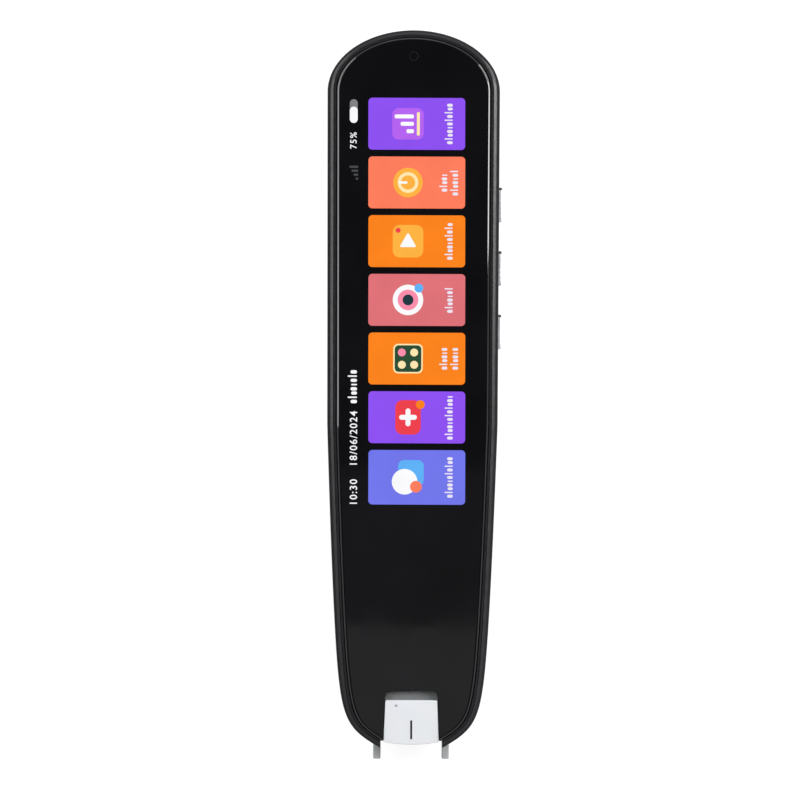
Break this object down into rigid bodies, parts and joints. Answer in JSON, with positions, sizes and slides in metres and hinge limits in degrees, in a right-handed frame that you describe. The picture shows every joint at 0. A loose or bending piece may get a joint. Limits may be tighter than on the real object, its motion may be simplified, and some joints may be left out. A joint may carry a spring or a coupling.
{
  "type": "handheld translator",
  "caption": "Slim pen-style translator: round-ended body with a long touch screen, side keys, and a white scan nose with two sliding feet at its tapered tip.",
  "frame": {"origin": "on the flat back, in the middle of the body's width and of its length without the two feet", "axes": "+Y towards the round crown, -Y towards the scan tip, +Z out of the screen, +X towards the keys"},
  "size_m": [0.0355, 0.148, 0.0124],
  "materials": {
    "cover_plastic": "fine matt grain",
    "frame_plastic": "satin",
    "black_glass": "polished",
    "adhesive": "matt",
    "display": "polished",
    "amber_film": "satin film",
    "chip_plastic": "moulded",
    "plate_metal": "pressed sheet",
    "steel": "satin",
    "board_laminate": "solder mask",
    "shield_metal": "tinned",
    "foam": "open foam",
    "battery_foil": "laminate pouch",
    "white_plastic": "gloss",
    "frosted_plastic": "frosted translucent",
    "window_plastic": "polished dark filter",
    "light_plastic": "phosphor",
    "contact_metal": "plated",
    "key_metal": "blasted, anodised"
  },
  "bodies": {
    "body": {"back_cover": "cover_plastic", "front_frame": "frame_plastic", "front_glass": "black_glass", "glass_gasket": "adhesive", "display_adhesive": "adhesive", "display_panel": "display", "display_flex": "amber_film", "display_connector": "chip_plastic", "front_sensor": "chip_plastic", "chassis_plate": "plate_metal", "plate_screw_1": "steel", "plate_screw_2": "steel", "plate_screw_3": "steel", "plate_screw_4": "steel", "plate_screw_5": "steel", "plate_screw_6": "steel", "main_board": "board_laminate", "board_screw_1": "steel", "board_screw_2": "steel", "board_screw_3": "steel", "board_screw_4": "steel", "shield_can": "shield_metal", "thermal_pad": "foam", "memory_chip": "chip_plastic", "radio_module": "shield_metal", "battery_pad": "foam", "battery": "battery_foil", "battery_tab": "amber_film", "battery_connector": "white_plastic", "speaker_gasket": "foam", "speaker": "chip_plastic", "speaker_contact_left": "contact_metal", "speaker_contact_right": "contact_metal", "port_shell": "steel", "port_core": "chip_plastic", "microphone_left": "shield_metal", "microphone_right": "shield_metal", "aerial": "contact_metal", "aerial_lead": "chip_plastic", "key_switch_1": "chip_plastic", "key_switch_2": "chip_plastic", "key_switch_3": "chip_plastic", "scan_window": "window_plastic", "scan_board": "board_laminate", "scan_camera": "chip_plastic", "scan_lens": "chip_plastic", "scan_light_left": "light_plastic", "scan_light_right": "light_plastic", "scan_flex": "amber_film", "scan_switch": "chip_plastic"},
    "power": {"power_key": "key_metal", "key_plunger_1": "white_plastic"},
    "volume_up": {"volume_up_key": "key_metal", "key_plunger_2": "white_plastic"},
    "volume_down": {"volume_down_key": "key_metal", "key_plunger_3": "white_plastic"},
    "scan_head": {"scan_nose": "white_plastic", "scan_foot": "frosted_plastic", "scan_plunger": "white_plastic"}
  },
  "joints": [
    {"name": "power_press", "type": "slide", "parent": "body", "child": "power", "axis": [-1, 0, 0], "range_m": [0, 0.00035], "stiffness_N_per_m": 2000, "springref_m": -0.0001},
    {"name": "volume_up_press", "type": "slide", "parent": "body", "child": "volume_up", "axis": [-1, 0, 0], "range_m": [0, 0.00035], "stiffness_N_per_m": 2000, "springref_m": -0.0001},
    {"name": "volume_down_press", "type": "slide", "parent": "body", "child": "volume_down", "axis": [-1, 0, 0], "range_m": [0, 0.00035], "stiffness_N_per_m": 2000, "springref_m": -0.0001},
    {"name": "scan_head_press", "type": "slide", "parent": "body", "child": "scan_head", "axis": [0, 1, 0], "range_m": [0, 0.001], "stiffness_N_per_m": 600, "springref_m": -0.001}
  ]
}
